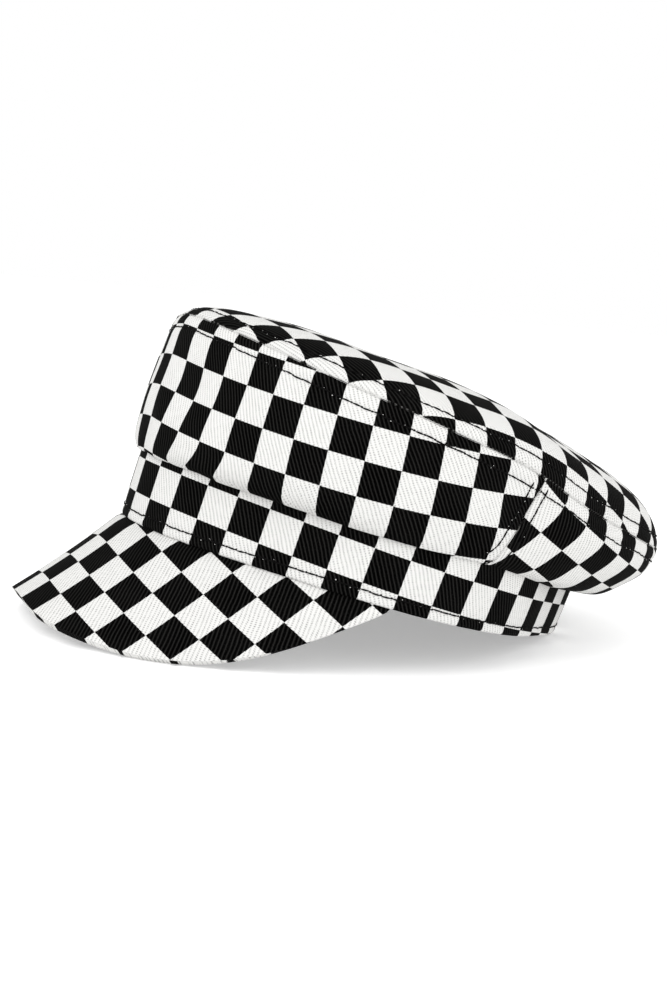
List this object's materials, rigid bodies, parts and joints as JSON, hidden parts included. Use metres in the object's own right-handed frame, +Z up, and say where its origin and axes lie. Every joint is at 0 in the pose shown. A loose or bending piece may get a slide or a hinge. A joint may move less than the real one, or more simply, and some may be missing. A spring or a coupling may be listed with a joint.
{
  "type": "fisherman cap",
  "caption": "Soft fisherman cap of checked twill: puffed crown with a rim seam over an upright band and a stiff arched peak, hollow inside.",
  "frame": {"origin": "middle of the bounding box on the floor that the cap rests on", "axes": "+Z up from the floor, -Y the way the peak points, +X the wearer's left; the band's own plane is tipped back by 15.7 degrees about X"},
  "size_m": [0.195, 0.2776, 0.1253],
  "materials": {
    "checked_twill": "matte cotton twill in black and off-white checks",
    "cloth_reverse": "matte reverse side of the same checked twill",
    "black_thread": "matte black sewing thread"
  },
  "bodies": {
    "root": {"peak": "checked_twill", "band": "checked_twill", "crown_front": "checked_twill", "crown_back": "checked_twill", "crown_top": "checked_twill"}
  },
  "joints": []
}
